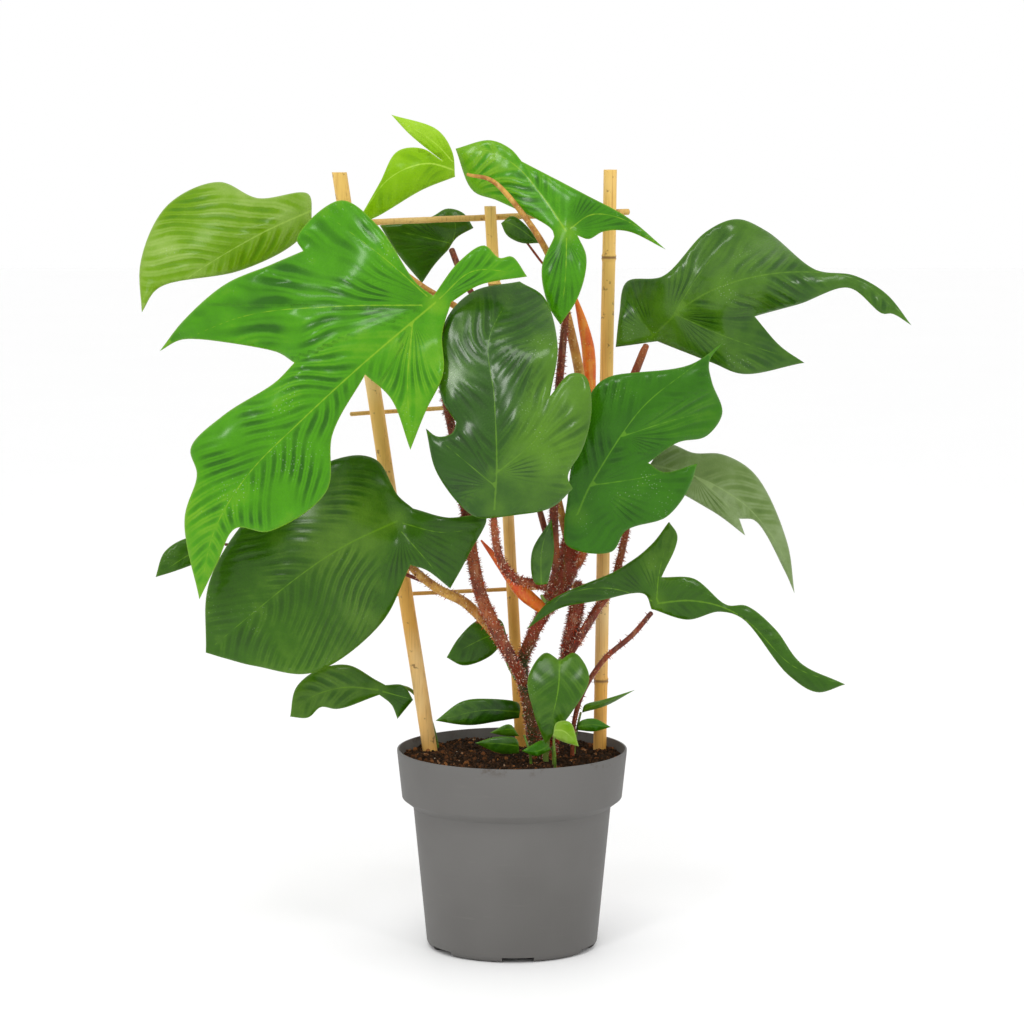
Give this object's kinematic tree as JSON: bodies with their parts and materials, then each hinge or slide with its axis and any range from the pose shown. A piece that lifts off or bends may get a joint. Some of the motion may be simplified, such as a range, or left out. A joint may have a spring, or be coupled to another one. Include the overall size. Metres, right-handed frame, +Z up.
{
  "type": "potted philodendron",
  "caption": "Climbing philodendron with lobed glossy leaves, growing up a bamboo cane trellis from soil in a round nursery pot.",
  "frame": {"origin": "centre of the pot's base, on the surface the pot stands on", "axes": "+Z up along the pot's axis, the plant's front faces -Y, +X to the right seen from the front"},
  "size_m": [0.6159, 0.2526, 0.686],
  "materials": {
    "pot_grey": "matt mid-grey moulded plastic",
    "soil_dark": "moist dark potting mix of bark and coir",
    "bamboo_tan": "smooth tan bamboo cane",
    "rung_tan": "thin split-bamboo rod",
    "leaf_mature": "waxy mid-green living leaf",
    "leaf_dark": "glossy dark green living leaf",
    "leaf_young": "soft yellow-green young leaf",
    "leaf_pale": "dull grey-green ageing leaf",
    "stem_brown": "olive-brown living stem",
    "stem_green": "fresh green living stem",
    "petiole_red": "dark red leaf stalk with short bristles",
    "petiole_tan": "brownish leaf stalk",
    "sheath_orange": "drying orange leaf sheath"
  },
  "bodies": {
    "root": {"pot": "pot_grey", "soil": "soil_dark", "cane_left": "bamboo_tan", "cane_middle": "bamboo_tan", "cane_right": "bamboo_tan", "rung_top": "rung_tan", "rung_middle": "rung_tan", "rung_bottom": "rung_tan", "main_stem": "stem_brown", "stem_right": "petiole_red", "sheath_low": "sheath_orange", "sheath_high": "sheath_orange", "petiole_big_left": "petiole_red", "petiole_centre": "petiole_red", "petiole_centre_right": "petiole_red", "petiole_lower_left": "petiole_tan", "petiole_new_top": "petiole_tan", "petiole_top": "petiole_red", "petiole_upper_right": "petiole_red", "petiole_mid_right": "petiole_red", "petiole_lower_right": "petiole_red", "petiole_upper_left": "petiole_tan", "petiole_behind_rung": "petiole_red", "petiole_small_yellow": "stem_brown", "petiole_small_left": "stem_green", "petiole_far_left": "petiole_red", "petiole_heart_front": "stem_green", "petiole_small_by_stem": "stem_green", "petiole_upright_dark": "stem_green", "petiole_ground_left": "stem_green", "petiole_ground_small": "stem_green", "petiole_ground_tuft": "stem_green", "petiole_ground_bright": "stem_green", "petiole_ground_right": "stem_green", "leaf_big_left": "leaf_mature", "leaf_centre": "leaf_dark", "leaf_centre_right": "leaf_mature", "leaf_lower_left": "leaf_mature", "leaf_upper_right": "leaf_dark", "leaf_top": "leaf_dark", "leaf_new_top": "leaf_young", "leaf_upper_left": "leaf_young", "leaf_behind_rung": "leaf_mature", "leaf_small_yellow": "leaf_young", "leaf_lower_right": "leaf_mature", "leaf_mid_right": "leaf_pale", "leaf_small_by_stem": "leaf_mature", "leaf_small_left": "leaf_mature", "leaf_heart_front": "leaf_mature", "leaf_ground_left": "leaf_dark", "leaf_ground_small": "leaf_mature", "leaf_ground_low": "leaf_dark", "leaf_ground_tuft": "leaf_young", "leaf_ground_bright": "leaf_young", "leaf_ground_right": "leaf_young", "leaf_thin_right": "leaf_mature", "leaf_upright_dark": "leaf_dark", "leaf_far_left": "leaf_mature"}
  },
  "joints": []
}
